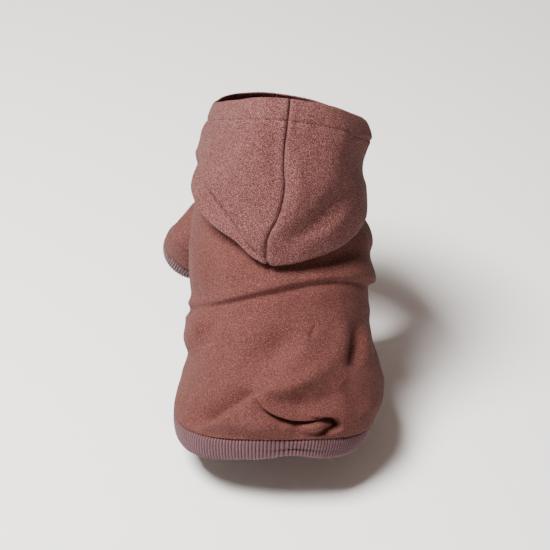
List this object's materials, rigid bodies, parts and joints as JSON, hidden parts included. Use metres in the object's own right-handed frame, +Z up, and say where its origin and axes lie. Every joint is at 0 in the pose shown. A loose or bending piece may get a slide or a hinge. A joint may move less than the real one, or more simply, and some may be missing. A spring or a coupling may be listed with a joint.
{
  "type": "dog hoodie",
  "caption": "Brushed-fleece dog hoodie with sleeves, a pointed hood lying on the back, and a rib-knit hem band and cuffs, in its worn form.",
  "frame": {"origin": "the underside of the back panel at the withers, where the hoodie sits on the dog", "axes": "+Z up, +Y forward, the way the dog faces, +X to the dog's right; the spine slopes 50 degrees up and forward"},
  "size_m": [0.1768, 0.2756, 0.269],
  "materials": {
    "fleece": "matte brushed brown fleece",
    "rib": "matte plum-brown rib knit"
  },
  "bodies": {
    "root": {"back_panel": "fleece", "chest_panel": "fleece", "left_sleeve": "fleece", "right_sleeve": "fleece", "left_cuff": "rib", "right_cuff": "rib", "hem_band": "rib", "hood_left": "fleece", "hood_right": "fleece"}
  },
  "joints": []
}
